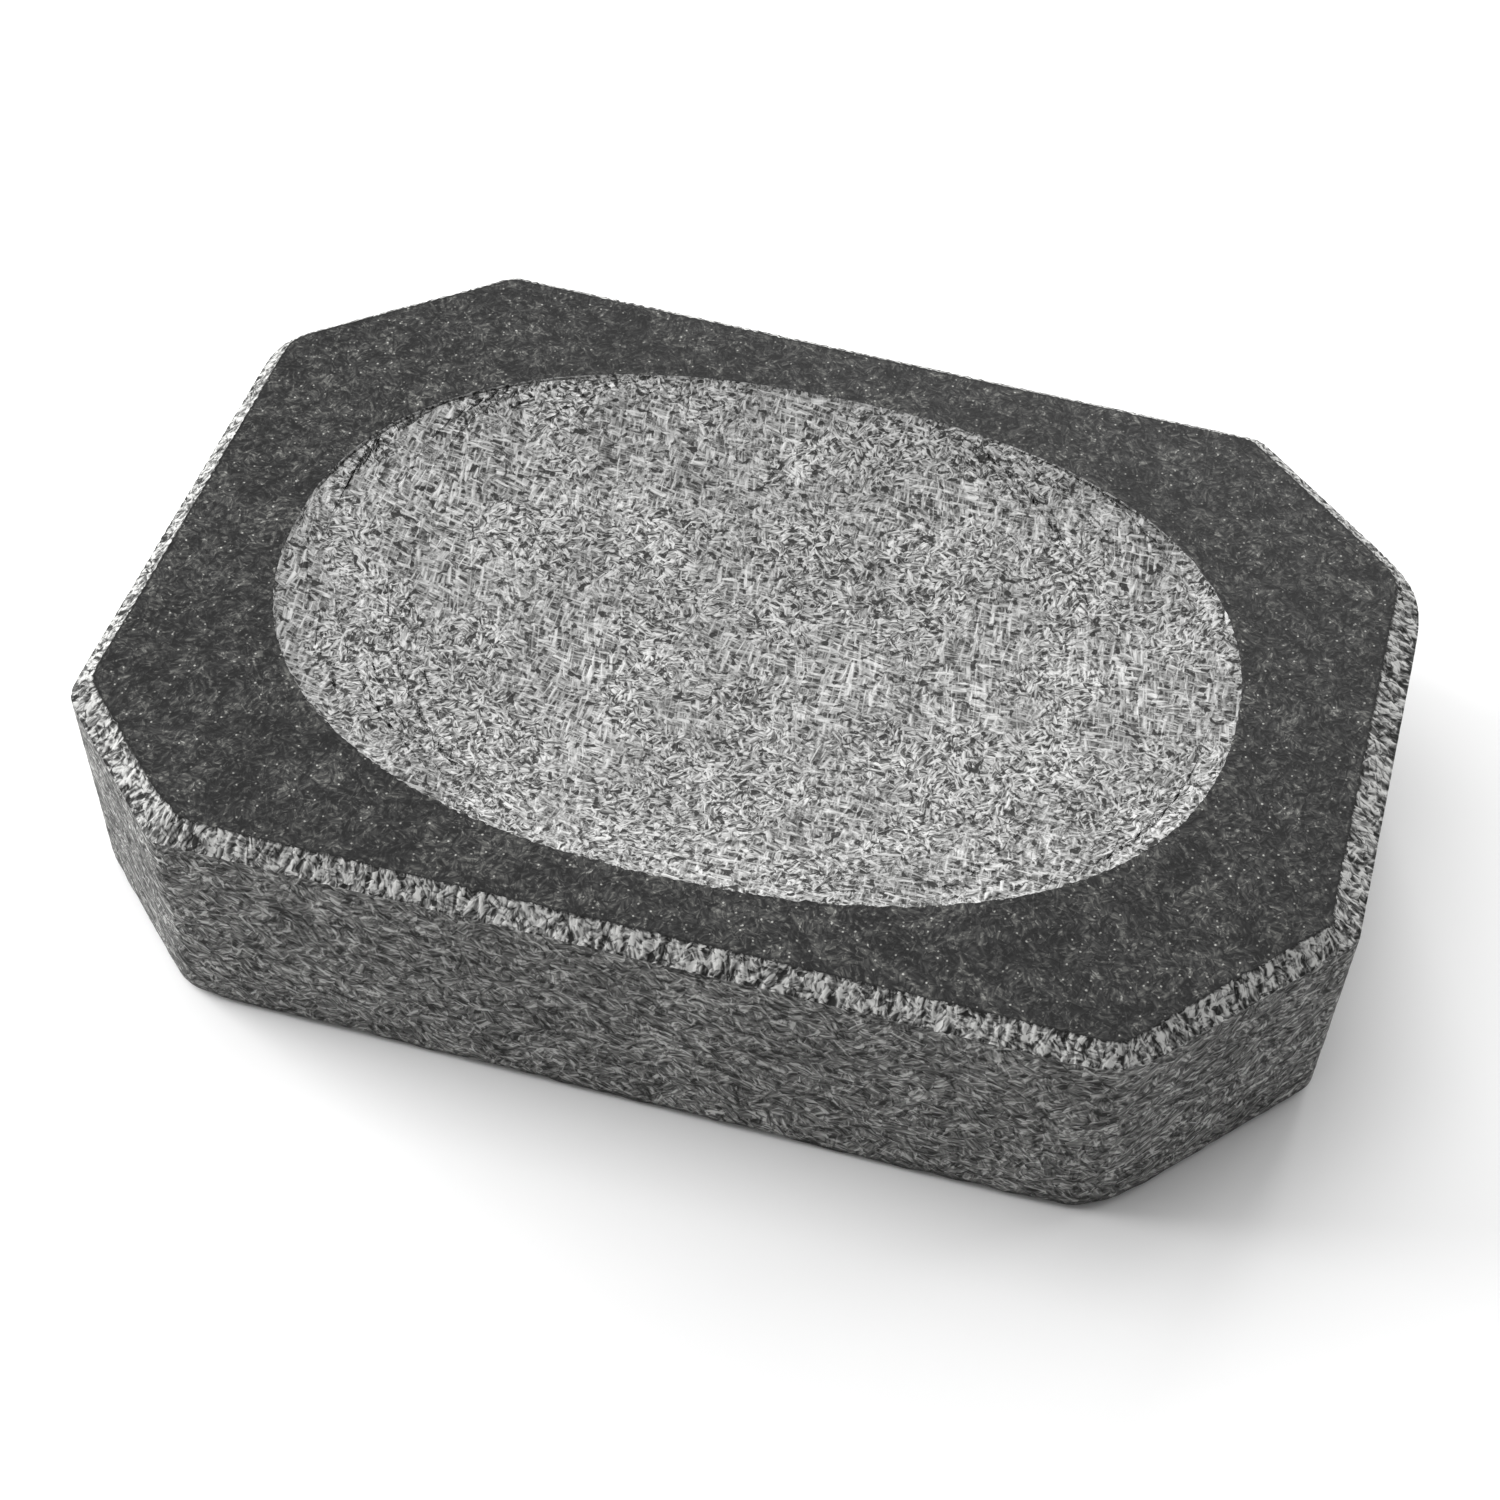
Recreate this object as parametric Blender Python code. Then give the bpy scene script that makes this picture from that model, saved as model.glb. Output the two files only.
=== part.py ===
"""Massage stone: one sawn block of basalt with its corners cut off and a shallow ground dish.

Frame: metres, +Z up, origin on the base under the middle of the block's box.
X runs along the length, Y from the front face to the back face.
"""

import math

import bmesh
import bpy
from mathutils import Matrix, Vector

# Sawn block.
LENGTH = 0.150  # X, over the two end faces
WIDTH = 0.101  # Y, from the back face to the front face at its wider, left end
THICKNESS = 0.033  # Z, from the base to the honed top
FRONT_OFF_SQUARE = math.radians(1.25)  # the front face runs in towards the right end

# Corners: set-back along the length, then along the width.
FRONT_LEFT_CUT = (0.018, 0.0165)
FRONT_RIGHT_CUT = (0.021, 0.024)
BACK_RIGHT_CUT = (0.024, 0.020)
BACK_LEFT_CUT = (0.025, 0.021)

# Edges.
UPRIGHT_EDGE_ROUNDING = 0.0008  # worn corners between neighbouring side faces
BASE_EDGE_ROUNDING = 0.0012
ARRIS_RUN = 0.0024  # broken top edge: how far it reaches in from the side faces
ARRIS_DROP = 0.0019  # and how far it falls below the honed top

# Dish ground into the top: flat rim left beside it, measured from the broken edge.
LEFT_RIM = 0.013
RIGHT_RIM = 0.016
SIDE_RIM = 0.0087  # along the back, and along the front at its wider end
DISH_DEPTH = 0.005
DISH_FULLNESS = 2.25  # exponent of the oval: 2 is an ellipse, more is squarer
DISH_ROUNDNESS = 2.4  # exponent of the depth: 2 is a parabola, more has a flatter floor
DISH_TURN = math.radians(2.1)  # the oval lies slightly askew on the block

DISH_SEGMENTS = 96
DISH_RINGS = 12
CUTTER_CLEARANCE = 0.002  # how far the grinding tool stands above the top

BASALT_GREY = (0.085, 0.085, 0.082, 1.0)
BASALT_ROUGHNESS = 0.72


def clear_scene():
    for item in list(bpy.data.objects):
        bpy.data.objects.remove(item, do_unlink=True)


def basalt():
    """Fine-grained dark grey stone, dull all over."""
    material = bpy.data.materials.new("basalt")
    material.use_nodes = True
    shader = material.node_tree.nodes["Principled BSDF"]
    shader.inputs["Base Color"].default_value = BASALT_GREY
    shader.inputs["Roughness"].default_value = BASALT_ROUGHNESS
    shader.inputs["Metallic"].default_value = 0.0
    return material


def add_object(name, bm):
    mesh = bpy.data.meshes.new(name)
    bm.to_mesh(mesh)
    bm.free()
    item = bpy.data.objects.new(name, mesh)
    bpy.context.scene.collection.objects.link(item)
    return item


def front_y(x):
    """Y of the front face at a distance along the block."""
    wide_end = -LENGTH / 2 + FRONT_LEFT_CUT[0]
    return -WIDTH / 2 + (x - wide_end) * math.tan(FRONT_OFF_SQUARE)


def saw(bm, start, end):
    """Saws straight down along a line on the top, and keeps what lies to the left of start to end."""
    start = Vector((*start, THICKNESS))
    end = Vector((*end, THICKNESS))
    along = (end - start).normalized()
    outward = along.cross(Vector((0, 0, 1)))
    geometry = bm.verts[:] + bm.edges[:] + bm.faces[:]
    cut = bmesh.ops.bisect_plane(
        bm, geom=geometry, dist=1e-7, plane_co=start, plane_no=outward, clear_outer=True
    )
    open_edges = [part for part in cut["geom_cut"] if isinstance(part, bmesh.types.BMEdge)]
    bmesh.ops.edgeloop_fill(bm, edges=open_edges)


def saw_outline(bm):
    """Squares up the front face, then takes off the four corners."""
    end_x = LENGTH / 2
    back_y = WIDTH / 2
    saw(bm, (-end_x, front_y(-end_x)), (end_x, front_y(end_x)))

    run, set_back = FRONT_LEFT_CUT
    inner_x = -end_x + run
    saw(bm, (-end_x, front_y(inner_x) + set_back), (inner_x, front_y(inner_x)))

    run, set_back = FRONT_RIGHT_CUT
    inner_x = end_x - run
    saw(bm, (inner_x, front_y(inner_x)), (end_x, front_y(end_x) + set_back))

    run, set_back = BACK_RIGHT_CUT
    saw(bm, (end_x, back_y - set_back), (end_x - run, back_y))

    run, set_back = BACK_LEFT_CUT
    saw(bm, (-end_x + run, back_y), (-end_x, back_y - set_back))


def climbs(edge):
    return abs(edge.verts[0].co.z - edge.verts[1].co.z) > 1e-6


def face_at(bm, height):
    """The flat face whose corners all lie at one height."""
    for face in bm.faces:
        if all(abs(vert.co.z - height) < 1e-6 for vert in face.verts):
            return face
    raise ValueError("no flat face at that height")


def round_upright_edges(bm):
    """Rounds each corner all the way up: base rounding, side and broken edge."""
    edges = [edge for edge in bm.edges if climbs(edge)]
    bmesh.ops.bevel(
        bm, geom=edges, offset=UPRIGHT_EDGE_ROUNDING, offset_type="OFFSET",
        segments=4, profile=0.5, affect="EDGES"
    )


def round_base_edge(bm):
    base = face_at(bm, 0.0)
    bmesh.ops.bevel(
        bm, geom=list(base.edges), offset=BASE_EDGE_ROUNDING, offset_type="OFFSET",
        segments=3, profile=0.5, affect="EDGES"
    )


def break_top_edge(bm):
    """Insets the top by the arris' run, then lowers the outline round it by the arris' drop."""
    top = face_at(bm, THICKNESS)
    bmesh.ops.inset_region(bm, faces=[top], thickness=ARRIS_RUN, use_even_offset=True)
    honed = set(top.verts)
    for vert in bm.verts:
        if abs(vert.co.z - THICKNESS) < 1e-6 and vert not in honed:
            vert.co.z -= ARRIS_DROP


def dish_ring(bm, share):
    """One level of the grinding tool: the oval at a share of its full size."""
    half_length = (LENGTH - 2 * ARRIS_RUN - LEFT_RIM - RIGHT_RIM) / 2
    half_width = WIDTH / 2 - ARRIS_RUN - SIDE_RIM
    centre = Vector(((LEFT_RIM - RIGHT_RIM) / 2, 0, 0))
    turn = Matrix.Rotation(DISH_TURN, 3, "Z")
    depth = DISH_DEPTH * (1 - share ** DISH_ROUNDNESS)
    ring = []
    for step in range(DISH_SEGMENTS):
        angle = math.tau * step / DISH_SEGMENTS
        x = math.copysign(abs(math.cos(angle)) ** (2 / DISH_FULLNESS), math.cos(angle))
        y = math.copysign(abs(math.sin(angle)) ** (2 / DISH_FULLNESS), math.sin(angle))
        flat = turn @ Vector((half_length * share * x, half_width * share * y, 0))
        ring.append(bm.verts.new(centre + flat + Vector((0, 0, THICKNESS - depth))))
    return ring


def join_rings(bm, outer, inner):
    for step in range(DISH_SEGMENTS):
        after = (step + 1) % DISH_SEGMENTS
        bm.faces.new((outer[step], inner[step], inner[after], outer[after]))


def dish_tool():
    """The shallow dome that the grinding wheel leaves, with straight sides above the top."""
    bm = bmesh.new()
    rim = dish_ring(bm, 1.0)
    lid = [bm.verts.new(vert.co + Vector((0, 0, CUTTER_CLEARANCE))) for vert in rim]
    bm.faces.new(lid)
    join_rings(bm, lid, rim)
    outer = rim
    for number in range(DISH_RINGS - 1, 0, -1):
        inner = dish_ring(bm, number / DISH_RINGS)
        join_rings(bm, outer, inner)
        outer = inner
    bm.faces.new(reversed(outer))
    bmesh.ops.recalc_face_normals(bm, faces=bm.faces)
    tool = add_object("dish_tool", bm)
    tool.hide_render = True
    tool.display_type = "WIRE"
    return tool


def massage_stone(tool):
    bm = bmesh.new()
    blank = Matrix.Translation((0, 0, THICKNESS / 2)) @ Matrix.Diagonal((LENGTH, WIDTH, THICKNESS, 1))
    bmesh.ops.create_cube(bm, size=1.0, matrix=blank)
    saw_outline(bm)
    break_top_edge(bm)
    round_base_edge(bm)
    round_upright_edges(bm)
    bmesh.ops.recalc_face_normals(bm, faces=bm.faces)
    stone = add_object("basalt_stone", bm)
    stone.data.materials.append(basalt())

    dish = stone.modifiers.new("dish", "BOOLEAN")
    dish.operation = "DIFFERENCE"
    dish.solver = "EXACT"
    dish.object = tool
    stone.data.shade_smooth()
    stone.data.set_sharp_from_angle(angle=math.radians(25))
    return stone


clear_scene()
massage_stone(dish_tool())
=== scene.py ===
import math

import bmesh
import bpy
import numpy as np
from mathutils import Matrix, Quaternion, Vector, noise


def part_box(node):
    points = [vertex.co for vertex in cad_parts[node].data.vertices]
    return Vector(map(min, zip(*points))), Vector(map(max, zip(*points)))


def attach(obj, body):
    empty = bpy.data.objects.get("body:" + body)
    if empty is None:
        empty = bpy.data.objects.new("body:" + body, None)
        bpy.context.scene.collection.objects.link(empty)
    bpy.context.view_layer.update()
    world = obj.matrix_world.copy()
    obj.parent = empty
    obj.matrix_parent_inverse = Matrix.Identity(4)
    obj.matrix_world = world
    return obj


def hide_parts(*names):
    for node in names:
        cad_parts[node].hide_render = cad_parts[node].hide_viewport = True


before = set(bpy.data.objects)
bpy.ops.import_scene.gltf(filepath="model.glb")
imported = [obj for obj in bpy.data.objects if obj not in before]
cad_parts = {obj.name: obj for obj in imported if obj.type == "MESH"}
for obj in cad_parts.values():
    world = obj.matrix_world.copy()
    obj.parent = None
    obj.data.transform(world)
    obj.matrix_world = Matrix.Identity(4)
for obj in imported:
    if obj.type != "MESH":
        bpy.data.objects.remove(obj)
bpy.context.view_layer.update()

MM = 0.001

# ---------------------------------------------------------------- the block
NODE = "basalt_stone"
LOW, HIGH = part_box(NODE)
TOP = HIGH.z
BASE_EDGE = (0.0, 0.16 * MM, 0.6 * MM)  # levels of the softened base edge
FOOT = 1.2 * MM  # where the sawn sides begin
ARRIS_DROP = 1.9 * MM  # how far the broken edge falls below the honed top
DISH_DEPTH = 5 * MM
DISH_ROUNDNESS = 2.4  # exponent of the dish's depth: more has a flatter floor
HAIR = 0.01 * MM  # a level this far off a flat face cuts just beside it

# Faces over the block: columns run round it, rows run up its sides and in over its top.
COLUMNS = 1296  # about 0.34 mm apart, a quarter of a tooth mark
SIDE_ROWS = 34
ARRIS_ROWS = 8
RIM_SHARES = (0.05, 0.13, 0.5, 0.9)  # rows across the honed rim, as shares of its width
DISH_SPAN = 130  # the dish is filled with a grid this many faces across

# Finishes, in the order of the stone's material slots.
SAWN, TOOLED, HONED, GROUND = range(4)

# Tool marks and wear.
TOOTH_PITCH = 1.35 * MM  # spacing of the tooth chisel's marks along the arris
TOOTH_DEPTH = 0.24 * MM
TOOTH_SLANT = 0.1  # how far a mark may lean, in pitches per millimetre across the arris
NOTCH = 0.4 * MM  # how far the marks bite into the sawn side under the arris
FRAY = 0.35 * MM  # and how far they bite into the honed rim above it
WIDE_END = 1.1 * MM  # the arris is broken this much wider along the right end
WIDE_CORNER = 0.6 * MM  # and this much along the front left cut
DISH_STEP = 0.22 * MM  # little step down from the honed rim into the ground dish
UNDERCUT = 0.6 * MM  # how far the base's chipped edge runs in under the sides
CHIPPED = 3.0 * MM  # and how far up the sides the chipping reaches
RAGGED = 0.28 * MM  # how far the dish's edge strays, and how wide its little step is
LEAD_STEPS = 8  # steps along the honed edge per column, to find the point straight in
CORNER_EASING = 40  # smoothing passes that spread the columns round the honed corners

# Worn upright corners: place in shares of the half size; smoothing passes at the base, under the
# arris and on the honed top; and the size of the wear.
WORN_CORNERS = (
    (0.72, -0.98, (260, 110, 60), 13 * MM),
    (1.0, 0.60, (300, 300, 160), 12 * MM),
    (-1.0, 0.58, (120, 120, 60), 9 * MM),
    (-1.0, -0.66, (30, 30, 60), 7 * MM),
    (-0.76, -1.0, (90, 0, 240), 10 * MM),
)
BASE, HEAD, CROWN = range(3)


# ---------------------------------------------------------------- selecting
def select_only(item):
    bpy.ops.object.select_all(action="DESELECT")
    item.select_set(True)
    bpy.context.view_layer.objects.active = item


def edit(item):
    select_only(item)
    bpy.ops.object.mode_set(mode="EDIT")
    bpy.ops.mesh.select_mode(type="VERT")


def leave_edit():
    bpy.ops.object.mode_set(mode="OBJECT")


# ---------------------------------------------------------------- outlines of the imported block
def outlines(mesh):
    """The closed loops of a mesh that is only edges, each as its points in order, widest first."""
    beside = {vert.index: [] for vert in mesh.vertices}
    for edge in mesh.edges:
        one, other = edge.vertices
        beside[one].append(other)
        beside[other].append(one)
    loops = []
    while beside:
        here = next(iter(beside))
        loop = []
        while here is not None:
            loop.append(mesh.vertices[here].co.xy[:])
            ways = [way for way in beside.pop(here) if way in beside]
            here = ways[0] if ways else None
        loops.append(np.array(loop))
    return sorted(loops, key=lambda loop: -np.ptp(loop[:, 0]))


def packed_section(height):
    """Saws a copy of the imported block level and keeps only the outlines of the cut."""
    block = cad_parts[NODE]
    copy = bpy.data.objects.new("section", block.data.copy())
    bpy.context.scene.collection.objects.link(copy)
    edit(copy)
    bpy.ops.mesh.select_all(action="SELECT")
    bpy.ops.mesh.remove_doubles(threshold=0.001 * MM)
    bpy.ops.mesh.bisect(
        plane_co=(0, 0, height), plane_no=(0, 0, 1), clear_inner=True, clear_outer=True,
        threshold=0.001 * MM
    )
    leave_edit()
    loops = outlines(copy.data)
    bpy.data.objects.remove(copy)
    return loops


def even_points(outline, count, start):
    """Points at equal steps round an outline, counter-clockwise from the direction of start."""
    turn = np.arctan2(outline[:, 1], outline[:, 0])
    ring = outline[np.argsort((turn - start) % math.tau)]
    ring = np.vstack([ring, ring[:1]])
    along = np.concatenate([[0], np.cumsum(np.hypot(*np.diff(ring, axis=0).T))])
    wanted = np.linspace(0, along[-1], count, endpoint=False)
    return np.column_stack([np.interp(wanted, along, ring[:, axis]) for axis in (0, 1)])


def reach(outline, centre, turns):
    """How far an outline lies from a centre inside it, in each direction."""
    spokes = outline - centre
    angle = np.arctan2(spokes[:, 1], spokes[:, 0]) % math.tau
    order = np.argsort(angle)
    spokes, angle = spokes[order], angle[order]
    after = np.searchsorted(angle, turns % math.tau) % len(angle)
    near, far = spokes[after - 1], spokes[after]
    side = far - near
    cross = near[:, 0] * side[:, 1] - near[:, 1] * side[:, 0]
    return cross / (np.cos(turns) * side[:, 1] - np.sin(turns) * side[:, 0])


# ---------------------------------------------------------------- roughness of worked stone
def swell(points, size, seed):
    """Smooth random height between about -1 and 1, with swellings of one size."""
    grid = np.asarray(points) / size + 17.3 * seed
    return np.array([noise.noise(spot) for spot in grid])


def tooth_marks(along, across):
    """0 on the ridges and 1 in the grooves that a tooth chisel leaves across the arris."""
    spots = np.column_stack([along, across * 0.4, np.zeros_like(along)])
    wander = 0.75 * swell(spots, 5 * MM, 1) + 0.35 * swell(spots, 1.9 * MM, 2)
    slant = TOOTH_SLANT * swell(spots, 11 * MM, 3) * across / MM
    phase = along / TOOTH_PITCH + wander + slant
    groove = 0.5 - 0.5 * np.cos(math.tau * phase)
    strength = 0.65 + 0.5 * swell(spots, 2.6 * MM, 4)
    return np.clip(groove ** 1.4 * strength, 0, 1)


# ---------------------------------------------------------------- rows of the stone's skin
class Skin:
    """The rows of points from the base's edge up the sides and in over the top to the dish.

    Each finish starts at its own row, and each row has the depth of its tooth grooves from 0 to 1.
    """

    def __init__(self):
        self.rows = []
        self.starts = {}
        self.grooves = []

    def add(self, points, grooves=None):
        self.rows.append(points)
        self.grooves.append(np.zeros(COLUMNS) if grooves is None else grooves)

    def start(self, finish):
        self.starts[finish] = len(self.rows) - 1


def level(outline, height, turns):
    """A row of points on an outline, one in each direction from the block's middle."""
    far = reach(outline, np.zeros(2), turns)
    return np.column_stack([far * np.cos(turns), far * np.sin(turns), np.full(len(turns), height)])


def smoothed(ring):
    """One smoothing pass over the values round a closed row."""
    return (np.roll(ring, 1, axis=0) + 2 * ring + np.roll(ring, -1, axis=0)) / 4


def straight_in(outline, head, start):
    """The honed edge's points straight in from those under the arris, eased round the corners."""
    count = LEAD_STEPS * COLUMNS
    fine = even_points(outline, count, start)
    nearest = np.array([np.hypot(*(fine - spot).T).argmin() for spot in head[:, :2]])
    even = LEAD_STEPS * np.arange(COLUMNS)
    lead = (nearest - even + count / 2) % count - count / 2
    for _ in range(CORNER_EASING):
        lead = smoothed(lead)
    spots = [np.interp(even + lead, np.arange(count), fine[:, axis], period=count) for axis in (0, 1)]
    return np.column_stack([*spots, np.full(COLUMNS, TOP)])


def worn(points, place):
    """Rounds an outline near the worn upright corners by smoothing it there."""
    for x, y, passes, size in WORN_CORNERS:
        smooth = points.copy()
        for _ in range(passes[place]):
            smooth = smoothed(smooth)
        far = np.hypot(points[:, 0] - x * HIGH.x, points[:, 1] - y * HIGH.y)
        share = np.exp(-(far / size) ** 4)[:, None]
        points = points * (1 - share) + smooth * share
    return points


def outward(points):
    """The level direction that faces away from the stone at each point of a row."""
    along = np.roll(points, -3, axis=0) - np.roll(points, 3, axis=0)
    away = np.column_stack([along[:, 1], -along[:, 0], np.zeros(len(points))])
    return away / np.linalg.norm(away, axis=1)[:, None]


def sawn_relief(points):
    """How far the sawn face lies inside its plane: saw waves, coarse grain and a few pits."""
    flat = points * (1, 1, 1.6)
    waves = 0.06 * swell(flat, 30 * MM, 11) + 0.05 * swell(flat, 6 * MM, 12)
    grain = 0.08 * swell(flat, 1.7 * MM, 13)
    pits = 0.6 * np.clip(swell(flat, 2.0 * MM, 14) - 0.4, 0, 1)
    return np.clip(0.05 + waves + grain + pits, 0, 1) * MM


def chipping(points):
    """How far the base's chipped edge lies inside the sides."""
    share = np.clip(1 - points[:, 2] / CHIPPED, 0, 1) ** 2
    return UNDERCUT * share * (0.75 + 0.6 * swell(points, 3.2 * MM, 15))


def ring_length(points):
    return np.hypot(*(points - np.roll(points, 1, axis=0)).T[:2]).sum()


def add_sides(skin, head, away, turns):
    """The softened base edge, then the sawn sides up to the arris."""
    for height in BASE_EDGE:
        row = worn(level(packed_section(height + HAIR)[0], height, turns), BASE)
        skin.add(row - away * (sawn_relief(row) + chipping(row))[:, None])
    foot = worn(level(packed_section(FOOT + HAIR)[0], FOOT, turns), BASE)
    for share in np.linspace(0, 1, SIDE_ROWS + 1):
        row = foot + (head - foot) * share
        row -= away * (sawn_relief(row) * (1.15 - share) + chipping(row))[:, None]
        skin.add(row)


def add_arris(skin, honed, away, along):
    """Tooth marks and pits across the broken edge, from the sides up to the honed top."""
    side = skin.rows[-1]
    drop = np.linalg.norm(honed - side, axis=1)
    for share in np.linspace(0, 1, ARRIS_ROWS + 1)[1:-1]:
        row = side + (honed - side) * share
        pits = np.clip(swell(row, 0.95 * MM, 8) + 0.1, 0, 1)
        grooves = np.clip(0.6 * tooth_marks(along, drop * share) + 1.3 * pits, 0, 1)
        depth = TOOTH_DEPTH * grooves * (0.5 + 0.5 * math.sin(math.pi * share))
        row -= (away * 0.62 + np.array([0, 0, 0.78])) * depth[:, None]
        skin.add(row, grooves)


def dish_edge(outline, turns):
    """The dish's ragged edge, and the level direction from each of its points to its middle."""
    edge = level(outline, TOP, turns)
    middle = (edge.max(axis=0) + edge.min(axis=0))[:2] / 2
    inward = middle - edge[:, :2]
    inward /= np.linalg.norm(inward, axis=1)[:, None]
    ragged = swell(edge, 0.7 * MM, 6) + 0.7 * swell(edge, 2.2 * MM, 7)
    near_side = np.clip(0.6 + 0.5 * inward[:, 1], 0.25, 1)
    edge[:, :2] -= inward * (RAGGED * ragged * near_side)[:, None]
    return edge, inward


def stone_skin():
    """All rows of the skin; with them, how far along the outline each column stands, and the dish's edge."""
    skin = Skin()
    head_outline = packed_section(TOP - ARRIS_DROP - HAIR)[0]
    top_outline, dish_outline = packed_section(TOP - HAIR)[:2]
    back_right = math.atan2(HIGH.y, HIGH.x * 0.72)  # the columns start on this corner cut
    steps = even_points(head_outline, COLUMNS, back_right)
    turns = np.arctan2(steps[:, 1], steps[:, 0])
    along = np.linspace(0, 1, COLUMNS, endpoint=False) * ring_length(steps)

    head = worn(level(head_outline, TOP - ARRIS_DROP, turns), HEAD)
    honed = worn(straight_in(top_outline, head, back_right), CROWN)
    away = outward(head)

    spots = np.column_stack([along, np.zeros(COLUMNS), np.zeros(COLUMNS)])
    ragged = 0.5 + 0.8 * swell(spots, 3.3 * MM, 5)
    bite = tooth_marks(along, np.full(COLUMNS, -0.5 * MM))
    head[:, 2] -= NOTCH * np.clip(0.25 + bite * ragged, 0.05, 1.5)
    fray = tooth_marks(along, np.full(COLUMNS, 3 * MM)) * np.clip(ragged, 0.1, 1.2)
    right_end = np.clip(away[:, 0], 0, 1) ** 6
    front_left = np.clip(-away @ (0.68, 0.74, 0), 0, 1) ** 8
    honed -= away * (FRAY * fray + WIDE_END * right_end + WIDE_CORNER * front_left)[:, None]

    add_sides(skin, head, away, turns)
    skin.starts[SAWN] = 0
    skin.start(TOOLED)
    add_arris(skin, honed, away, along)
    skin.add(honed, fray)
    skin.start(HONED)
    edge, inward = dish_edge(dish_outline, turns)
    for share in RIM_SHARES:
        skin.add(honed + (edge - honed) * share)
    skin.add(edge)
    skin.start(GROUND)
    step = edge.copy()
    step[:, :2] += inward * RAGGED
    skin.add(step)
    return skin, along, edge


# ---------------------------------------------------------------- the stone
def place_row(mesh, points, number):
    """Puts the selected loop on a row's points, column by column."""
    bm = bmesh.from_edit_mesh(mesh)
    column = bm.verts.layers.int["column"]
    row = bm.verts.layers.int["row"]
    for vert in bm.verts:
        if vert.select:
            vert.co = points[vert[column]]
            vert[row] = number
    bmesh.update_edit_mesh(mesh)


def select_row(mesh, number, every=1):
    bpy.ops.mesh.select_all(action="DESELECT")
    bm = bmesh.from_edit_mesh(mesh)
    column = bm.verts.layers.int["column"]
    row = bm.verts.layers.int["row"]
    for vert in bm.verts:
        vert.select = vert[row] == number and vert[column] % every == every - 1
    bm.select_flush(True)
    bmesh.update_edit_mesh(mesh)


def number_columns(mesh):
    bm = bmesh.from_edit_mesh(mesh)
    column = bm.verts.layers.int.new("column")
    bm.verts.layers.int.new("row")
    for vert in bm.verts:
        vert[column] = vert.index
    bmesh.update_edit_mesh(mesh)


def raise_skin(rows):
    """Starts from a circle on the base and extrudes it row by row up the sides and in to the dish.

    The rows are numbered from 1, and 0 is left for the points that fill the dish.
    """
    bpy.ops.object.select_all(action="DESELECT")
    bpy.ops.mesh.primitive_circle_add(
        vertices=COLUMNS, radius=HIGH.x, fill_type="NOTHING", location=(0, 0, 0)
    )
    stone = bpy.context.object
    stone.name = stone.data.name = "dressed_basalt_block"
    edit(stone)
    bpy.ops.mesh.select_all(action="SELECT")
    number_columns(stone.data)
    place_row(stone.data, rows[0], 1)
    for number, points in enumerate(rows[1:], start=2):
        bpy.ops.mesh.extrude_edges_move()
        place_row(stone.data, points, number)
    return stone


def fill_dish(mesh, last_row):
    """Thins the dish's edge to every second column, then fills it with a grid of even faces."""
    select_row(mesh, last_row, every=2)
    bpy.ops.mesh.dissolve_verts()
    select_row(mesh, last_row)
    bpy.ops.mesh.fill_grid(span=DISH_SPAN)


def sink_dish(mesh, last_row, edge):
    """Lowers the fill, and the loop round it, to the ground floor of the dish."""
    bm = bmesh.from_edit_mesh(mesh)
    row = bm.verts.layers.int["row"]
    floor = [vert for vert in bm.verts if vert[row] in (0, last_row)]
    points = np.array([vert.co for vert in floor])
    outline = edge[:, :2]
    middle = (outline.max(axis=0) + outline.min(axis=0)) / 2
    spokes = points[:, :2] - middle
    turns = np.arctan2(spokes[:, 1], spokes[:, 0])
    share = np.clip(np.hypot(*spokes.T) / reach(outline, middle, turns), 0, 1)
    depth = DISH_DEPTH * (1 - share ** DISH_ROUNDNESS)
    # The step is sharp on the left and at the back, and worn down on the right and in front.
    sharp = np.clip(0.55 - 0.6 * np.cos(turns) + 0.35 * np.sin(turns), 0.1, 1)
    depth += DISH_STEP * sharp * share ** 12
    grit = 0.05 * (1 + swell(points, 1.3 * MM, 9)) + 0.08 * (1 + swell(points, 5 * MM, 10))
    depth += grit * MM * (1 - share ** 20)
    for vert, fall in zip(floor, depth):
        vert.co.z = TOP - fall
    bmesh.update_edit_mesh(mesh)


def sharpen(mesh, row):
    select_row(mesh, row)
    bpy.ops.mesh.mark_sharp()


def vertex_numbers(mesh, name):
    values = np.zeros(len(mesh.vertices), dtype=np.int32)
    mesh.attributes[name].data.foreach_get("value", values)
    return values


def assign_finishes(mesh, rows, starts):
    """Gives each face the finish of the lowest row that it touches."""
    finishes = []
    for face in mesh.polygons:
        numbers = rows[list(face.vertices)]
        lowest = numbers.min()
        if lowest == 0:
            finish = GROUND
        else:
            finish = max((start, kind) for kind, start in starts.items() if start + 1 <= lowest)[1]
        finishes.append(finish)
    mesh.polygons.foreach_set("material_index", finishes)


def paint_numbers(mesh, name, values):
    layer = mesh.attributes.new(name=name, type="FLOAT", domain="POINT")
    layer.data.foreach_set("value", values)


def wrap_map(mesh, rows, columns, skin, along):
    """A map in metres: along the outline, and across the skin from the base's edge inwards."""
    across = [0.0]
    for lower, upper in zip(skin.rows, skin.rows[1:]):
        across.append(across[-1] + np.linalg.norm(upper - lower, axis=1).mean())
    across = np.array([0.0] + across)
    whole = along[-1] + along[1]
    layer = mesh.uv_layers.new(name="wrap")
    for face in mesh.polygons:
        numbers = columns[list(face.vertices)]
        over_seam = np.ptp(numbers) > COLUMNS / 2
        for loop, number, vert in zip(face.loop_indices, numbers, face.vertices):
            u = along[number] + (whole if over_seam and number < COLUMNS / 2 else 0)
            layer.data[loop].uv = (u, across[rows[vert]])


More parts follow.
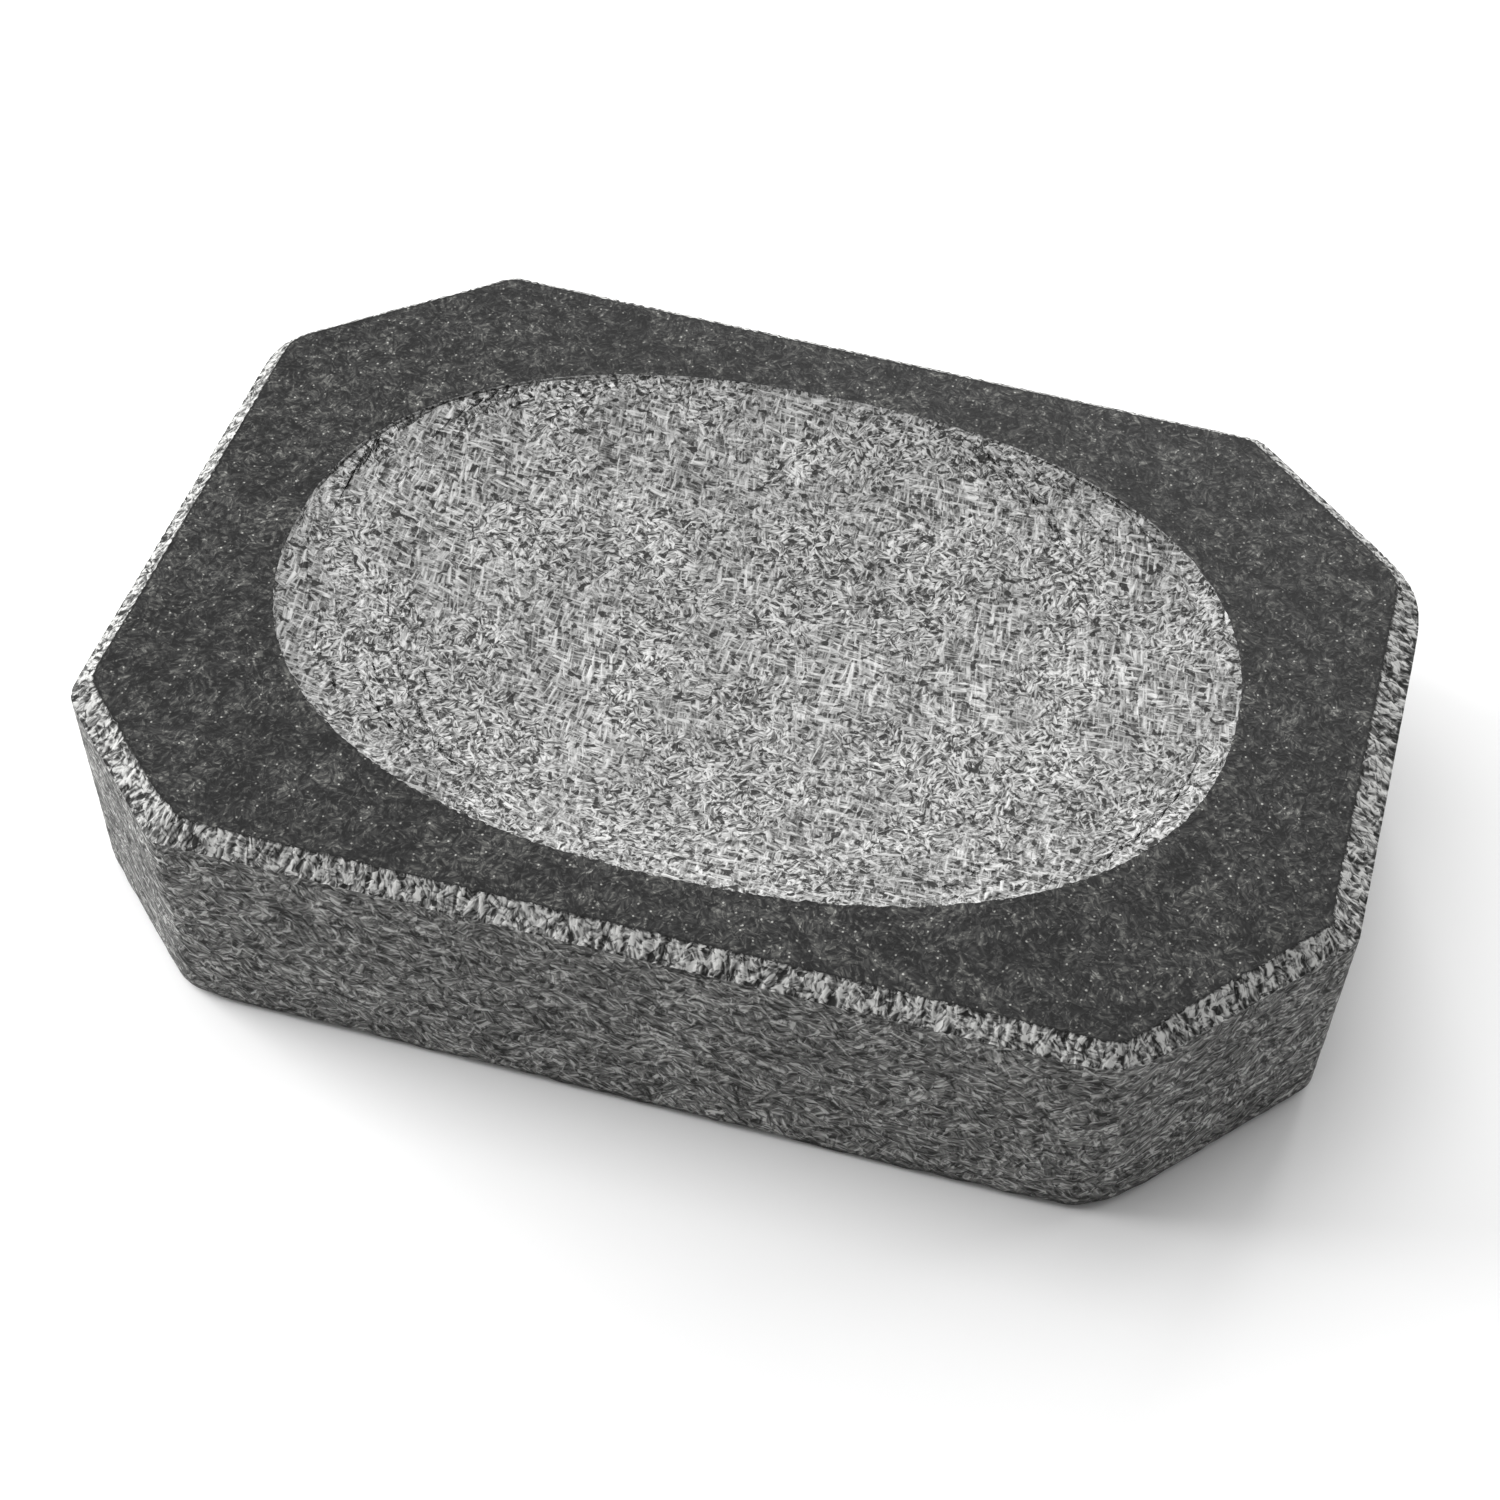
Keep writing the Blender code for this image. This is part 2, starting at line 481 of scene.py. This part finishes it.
def from_arris(skin):
    """Millimetres from the arris to each point of the honed rim, and nought off the rim."""
    first, last = skin.starts[HONED], skin.starts[GROUND]
    far = np.zeros((len(skin.rows) + 1, COLUMNS))
    for number in range(first, last + 1):
        far[number + 1] = np.linalg.norm(skin.rows[number] - skin.rows[first], axis=1) / MM
    return far


def dressed_stone():
    skin, along, edge = stone_skin()
    stone = raise_skin(skin.rows)
    mesh = stone.data
    last_row = len(skin.rows)
    fill_dish(mesh, last_row)
    sink_dish(mesh, last_row, edge)
    for finish in (TOOLED, HONED, GROUND):
        sharpen(mesh, skin.starts[finish] + 1)
    select_row(mesh, 1)
    bpy.ops.mesh.edge_face_add()
    bpy.ops.mesh.select_all(action="SELECT")
    bpy.ops.mesh.normals_make_consistent(inside=False)
    leave_edit()
    bpy.ops.object.shade_smooth()
    rows = vertex_numbers(mesh, "row")
    columns = vertex_numbers(mesh, "column")
    assign_finishes(mesh, rows, skin.starts)
    wrap_map(mesh, rows, columns, skin, along)
    grooves = np.vstack([np.zeros(COLUMNS)] + skin.grooves)[rows, columns]
    paint_numbers(mesh, "groove", grooves)
    paint_numbers(mesh, "from_arris", from_arris(skin)[rows, columns])
    over = np.clip((np.arange(len(skin.rows) + 1) - skin.starts[TOOLED] - 1) / ARRIS_ROWS, 0, 1)
    paint_numbers(mesh, "over_arris", over[rows])
    return stone


# ---------------------------------------------------------------- materials
def colour(code):
    """An sRGB hex colour as linear red, green, blue and alpha."""
    parts = [int(code[i:i + 2], 16) / 255 for i in (1, 3, 5)]
    return [part / 12.92 if part <= 0.04045 else ((part + 0.055) / 1.055) ** 2.4 for part in parts] + [1.0]


def add_node(tree, kind, inputs, stops=(), **settings):
    """Adds a node with its settings, values and links; stops are a colour ramp's places and colours."""
    node = tree.nodes.new("ShaderNode" + kind)
    for name, value in settings.items():
        setattr(node, name, value)
    for name, value in inputs.items():
        if isinstance(value, bpy.types.Node):
            value = value.outputs[0]
        if isinstance(value, bpy.types.NodeSocket):
            tree.links.new(value, node.inputs[name])
        else:
            node.inputs[name].default_value = value
    for number, (place, code) in enumerate(stops):
        elements = node.color_ramp.elements
        element = elements[number] if number < 2 else elements.new(place)
        element.position = place
        element.color = colour(code)
    return node


def new_material(name):
    material = bpy.data.materials.new(name)
    material.use_nodes = True
    tree = material.node_tree
    return material, tree, tree.nodes["Principled BSDF"]


def laths(tree, place, patch, across, length, seed, spread=math.pi, lie=0.0):
    """Height of felted mineral laths: patches of parallel strokes, each patch lying its own way.

    Place is in millimetres. Patch is the size of a patch, across the width of a lath and length its
    length. Spread is how far the patches turn from the way they lie.
    """
    moved = add_node(tree, "VectorMath", {0: place, 1: (seed, 0.7 * seed, 0.3 * seed)}, operation="ADD")
    bend = add_node(tree, "TexNoise", {"Vector": moved, "Scale": 1.1 / patch, "Detail": 1.0})
    bend = add_node(tree, "VectorMath", {0: bend.outputs["Color"], 1: (0.5, 0.5, 0.5)}, operation="SUBTRACT")
    bend = add_node(tree, "VectorMath", {0: bend, 1: (1.2 * patch,) * 3, 2: moved}, operation="MULTIPLY_ADD")
    cells = add_node(
        tree, "TexVoronoi", {"Vector": bend, "Scale": 1 / patch}, voronoi_dimensions="2D"
    ).outputs["Color"]
    turn = add_node(tree, "SeparateColor", {0: cells})
    turn = add_node(tree, "Math", {0: turn, 1: spread, 2: lie - spread / 2}, operation="MULTIPLY_ADD")
    turned = add_node(tree, "VectorRotate", {"Vector": moved, "Angle": turn}, rotation_type="Z_AXIS")
    drawn = add_node(
        tree, "VectorMath", {0: turned, 1: (0.5 / length, 0.5 / across, 0.5 / across)}, operation="MULTIPLY"
    )
    own = add_node(tree, "VectorMath", {0: cells, 1: (37, 37, 37), 2: drawn}, operation="MULTIPLY_ADD")
    return add_node(
        tree, "TexNoise", {"Vector": own, "Scale": 1.0, "Detail": 1.0, "Roughness": 0.5, "Distortion": 0.8}
    )


def felted(tree, one, two):
    """Two layers of laths pressed into one: the mean of their heights."""
    both = add_node(tree, "Math", {0: one, 1: two}, operation="ADD")
    return add_node(tree, "Math", {0: both, 1: 0.5}, operation="MULTIPLY")


def raised_by(tree, felt, cause, start, end, low, high):
    """Raises the felt by low where its cause is at start, changing smoothly to high at end."""
    rise = add_node(
        tree, "MapRange", {0: cause, 1: start, 2: end, 3: low, 4: high}, interpolation_type="SMOOTHSTEP"
    )
    return add_node(tree, "Math", {0: felt, 1: rise}, operation="ADD")


def shaded_by(tree, tint, cause, start, end, low, high):
    """Multiplies a colour by low where its cause is at start, changing smoothly to high at end."""
    shade = add_node(
        tree, "MapRange", {0: cause, 1: start, 2: end, 3: low, 4: high}, interpolation_type="SMOOTHSTEP"
    )
    return add_node(tree, "VectorMath", {0: tint, "Scale": shade}, operation="SCALE")


def specks(tree, place, apart, radius, share):
    """Small round specks, 1 inside and 0 outside: their spacing and radius in millimetres."""
    cells = add_node(tree, "TexVoronoi", {"Vector": place, "Scale": 1 / apart}, voronoi_dimensions="2D")
    inside = add_node(
        tree, "MapRange",
        {0: cells.outputs["Distance"], 1: 0.6 * radius / apart, 2: 1.3 * radius / apart, 3: 1.0, 4: 0.0},
        interpolation_type="SMOOTHSTEP"
    )
    pick = add_node(tree, "SeparateColor", {0: cells.outputs["Color"]})
    picked = add_node(
        tree, "MapRange", {0: pick, 1: 1 - share - 0.01, 2: 1 - share + 0.01, 3: 0.0, 4: 1.0},
        interpolation_type="SMOOTHSTEP"
    )
    return add_node(tree, "Math", {0: inside, 1: picked}, operation="MULTIPLY")


def finish_surface(tree, shader, tint, height, roughness, bump):
    """Gives the shader its colour and roughness, and the height as a bump of a depth in metres."""
    tree.links.new(tint.outputs[0], shader.inputs["Base Color"])
    shader.inputs["Roughness"].default_value = roughness
    shader.inputs["Specular IOR Level"].default_value = 0.3
    raised = add_node(tree, "Bump", {"Height": height, "Distance": bump, "Strength": 1.0})
    tree.links.new(raised.outputs[0], shader.inputs["Normal"])


def ground_basalt():
    """Basalt ground with coarse grit: bruised crystals make it pale and dull, with darker pores."""
    material, tree, shader = new_material("ground_basalt")
    spot = add_node(tree, "TexCoord", {}).outputs["Object"]
    place = add_node(tree, "VectorMath", {0: spot, "Scale": 1 / MM}, operation="SCALE")
    one = laths(tree, place, 1.4, 0.24, 1.0, 3.1)
    two = laths(tree, place, 1.1, 0.22, 0.8, 11.3)
    curled = add_node(tree, "Math", {0: one, 1: two}, operation="MAXIMUM")
    down = laths(tree, place, 3.0, 0.26, 3.0, 41.9, 0.14 * math.pi, 0.47 * math.pi)
    sideways = laths(tree, place, 2.4, 0.24, 1.9, 53.3, 0.14 * math.pi, 0.03 * math.pi)
    woven = add_node(tree, "Math", {0: down, 1: sideways}, operation="MAXIMUM")
    patches = add_node(tree, "TexNoise", {"Vector": place, "Scale": 0.5 / 6.0, "Detail": 1.0})
    patches = add_node(
        tree, "MapRange", {0: patches, 1: 0.45, 2: 0.62, 3: 0.0, 4: 0.8}, interpolation_type="SMOOTHSTEP"
    )
    felt = add_node(tree, "Mix", {0: patches, 2: curled, 3: woven})
    pores = add_node(tree, "TexNoise", {"Vector": place, "Scale": 0.5 / 0.45, "Detail": 0.0})
    felt = raised_by(tree, felt, pores, 0.34, 0.26, 0.0, -0.16)
    scores = laths(tree, place, 9.0, 0.35, 9.0, 67.1, 0.2 * math.pi, 0.45 * math.pi)
    felt = raised_by(tree, felt, scores, 0.60, 0.72, 0.0, 0.07)
    tint = add_node(
        tree, "ValToRGB", {0: felt},
        stops=((0.42, "#2b2b2a"), (0.51, "#636362"), (0.60, "#989897"), (0.70, "#bebebd"))
    )
    clouds = add_node(tree, "TexNoise", {"Vector": place, "Scale": 0.5 / 5.0, "Detail": 2.0})
    tint = shaded_by(tree, tint, clouds, 0.3, 0.7, 0.86, 1.1)
    finish_surface(tree, shader, tint, felt, 0.85, 0.3 * MM)
    return material


def honed_basalt():
    """Basalt honed flat with fine grit: near black with a low sheen, and thin pale flecks of feldspar."""
    material, tree, shader = new_material("honed_basalt")
    spot = add_node(tree, "TexCoord", {}).outputs["Object"]
    place = add_node(tree, "VectorMath", {0: spot, "Scale": 1 / MM}, operation="SCALE")
    one = laths(tree, place, 1.3, 0.28, 1.1, 5.7)
    two = laths(tree, place, 1.1, 0.24, 0.9, 8.3)
    felt = felted(tree, one, two)
    hairs = laths(tree, place, 0.9, 0.17, 0.6, 19.1)
    felt = raised_by(tree, felt, hairs, 0.61, 0.70, 0.0, 0.14)
    blots = add_node(tree, "TexNoise", {"Vector": place, "Scale": 0.5 / 1.4, "Detail": 1.0})
    felt = raised_by(tree, felt, blots, 0.3, 0.7, -0.05, 0.05)
    flecks = specks(tree, place, 1.5, 0.13, 0.4)
    felt = add_node(tree, "Math", {0: flecks, 1: 0.3, 2: felt}, operation="MULTIPLY_ADD")
    tint = add_node(
        tree, "ValToRGB", {0: felt},
        stops=((0.38, "#0c0c0c"), (0.48, "#1f1f1f"), (0.58, "#363635"), (0.70, "#5b5b58"), (0.95, "#a8a8a4"))
    )
    clouds = add_node(tree, "TexNoise", {"Vector": place, "Scale": 0.5 / 4.5, "Detail": 2.0})
    tint = shaded_by(tree, tint, clouds, 0.3, 0.7, 0.76, 1.18)
    border = add_node(tree, "Attribute", {}, attribute_name="from_arris").outputs["Fac"]
    tint = shaded_by(tree, tint, border, 0.12, 0.4, 0.3, 1.0)
    finish_surface(tree, shader, tint, felt, 0.62, 0.08 * MM)
    shader.inputs["Specular IOR Level"].default_value = 0.2
    return material


def sawn_basalt():
    """Basalt as the saw left it: mid grey and matt, with laths drawn out along the cut and dark pits."""
    material, tree, shader = new_material("sawn_basalt")
    wrap = add_node(tree, "UVMap", {}, uv_map="wrap").outputs["UV"]
    place = add_node(tree, "VectorMath", {0: wrap, "Scale": 1 / MM}, operation="SCALE")
    one = laths(tree, place, 1.9, 0.30, 1.6, 7.9, 0.8 * math.pi, 0.1)
    two = laths(tree, place, 1.3, 0.25, 1.1, 23.7)
    felt = felted(tree, one, two)
    highest = add_node(tree, "Math", {0: one, 1: two}, operation="MAXIMUM")
    felt = raised_by(tree, felt, highest, 0.60, 0.70, 0.0, 0.07)
    drawn = add_node(tree, "VectorMath", {0: place, 1: (0.6, 1.0, 1.0)}, operation="MULTIPLY")
    pits = add_node(tree, "TexNoise", {"Vector": drawn, "Scale": 0.5 / 0.7, "Detail": 1.0})
    felt = raised_by(tree, felt, pits, 0.26, 0.44, -0.12, 0.0)
    tint = add_node(
        tree, "ValToRGB", {0: felt},
        stops=((0.36, "#222221"), (0.48, "#595958"), (0.57, "#7f7f7d"), (0.70, "#b0b0ae"))
    )
    clouds = add_node(tree, "TexNoise", {"Vector": place, "Scale": 0.5 / 4.0, "Detail": 2.0})
    tint = shaded_by(tree, tint, clouds, 0.3, 0.7, 0.8, 1.2)
    # Painted shade: the lowest couple of millimetres of the sides are darkened towards the base, standing in
    # for the contact shadow where the stone meets the floor.
    spot = add_node(tree, "TexCoord", {}).outputs["Object"]
    height = add_node(tree, "SeparateXYZ", {0: spot}).outputs["Z"]
    tint = shaded_by(tree, tint, height, 0.7 * MM, 2.2 * MM, 0.12, 1.0)
    finish_surface(tree, shader, tint, felt, 0.85, 0.3 * MM)
    return material


def tooled_basalt():
    """Basalt bruised by a tooth chisel: pale crushed ridges with dark gaps between them."""
    material, tree, shader = new_material("tooled_basalt")
    wrap = add_node(tree, "UVMap", {}, uv_map="wrap").outputs["UV"]
    place = add_node(tree, "VectorMath", {0: wrap, "Scale": 1 / MM}, operation="SCALE")
    one = laths(tree, place, 1.6, 0.34, 1.8, 31.3, 0.35 * math.pi, 0.5 * math.pi)
    two = laths(tree, place, 1.1, 0.26, 0.8, 37.9)
    groove = add_node(tree, "Attribute", {}, attribute_name="groove").outputs["Fac"]
    felt = felted(tree, one, two)
    felt = add_node(tree, "Math", {0: groove, 1: -0.12, 2: felt}, operation="MULTIPLY_ADD")
    over = add_node(tree, "Attribute", {}, attribute_name="over_arris").outputs["Fac"]
    # Painted shade: this darkens the foot of the arris, beside the sawn side, and dips it a little in the
    # bump, standing in for the shadow along the arris's lower edge.
    felt = raised_by(tree, felt, over, 0.02, 0.14, -0.08, 0.0)
    felt = raised_by(tree, felt, over, 0.9, 0.99, 0.0, -0.10)
    tint = add_node(
        tree, "ValToRGB", {0: felt},
        stops=((0.34, "#1e1e1d"), (0.43, "#646463"), (0.54, "#bcbcba"))
    )
    finish_surface(tree, shader, tint, felt, 0.85, 0.3 * MM)
    return material


stone = dressed_stone()
for finish in (sawn_basalt, tooled_basalt, honed_basalt, ground_basalt):
    stone.data.materials.append(finish())
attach(stone, "root")
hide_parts(NODE)


# ---------------------------------------------------------------- camera, light and floor
AZIMUTH, ELEVATION, ROLL = (math.radians(angle) for angle in (15.31, 51.35, 1.72))
AIM = Vector((-3.17, 6.2, 0.0)) * MM
DISTANCE = 352.5 * MM
back = Vector((
    math.sin(AZIMUTH) * math.cos(ELEVATION),
    -math.cos(AZIMUTH) * math.cos(ELEVATION),
    math.sin(ELEVATION),
))
camera = bpy.data.objects.new("camera", bpy.data.cameras.new("camera"))
camera.data.lens = 64.99
camera.data.sensor_width = 36
camera.data.clip_start = 0.01
camera.location = AIM + back * DISTANCE
camera.rotation_mode = "QUATERNION"
camera.rotation_quaternion = (-back).to_track_quat("-Z", "Y") @ Quaternion((0, 0, 1), ROLL)
bpy.context.scene.collection.objects.link(camera)
bpy.context.scene.camera = camera
bpy.context.scene.view_settings.view_transform = "Standard"


def soft_box(name, azimuth, elevation, watts):
    """A square soft box 0.8 m from the stone, in a direction given in degrees."""
    azimuth, elevation = math.radians(azimuth), math.radians(elevation)
    away = Vector((
        math.cos(azimuth) * math.cos(elevation),
        math.sin(azimuth) * math.cos(elevation),
        math.sin(elevation),
    ))
    light = bpy.data.objects.new(name, bpy.data.lights.new(name, "AREA"))
    light.data.shape = "SQUARE"
    light.data.size = 0.5
    light.data.energy = watts
    light.location = away * 0.8
    light.rotation_mode = "QUATERNION"
    light.rotation_quaternion = away.to_track_quat("Z", "Y")
    bpy.context.scene.collection.objects.link(light)


soft_box("left", 180, 25, 8.4)
soft_box("back", 90, 25, 4.8)
soft_box("back_right", 45, 25, 2.1)
soft_box("overhead", 180, 75, 2.8)

world = bpy.data.worlds.new("studio")
world.use_nodes = True
world.node_tree.nodes["Background"].inputs["Color"].default_value = (1, 1, 1, 1)
world.node_tree.nodes["Background"].inputs["Strength"].default_value = 0.3
bpy.context.scene.world = world

bpy.ops.object.select_all(action="DESELECT")
bpy.ops.mesh.primitive_plane_add(size=6, location=(0, 0, 0))
floor = bpy.context.object
floor.name = "floor"
paper, tree, shader = new_material("white_paper")
shader.inputs["Base Color"].default_value = colour("#f2f2f2")
shader.inputs["Roughness"].default_value = 0.9
floor.data.materials.append(paper)
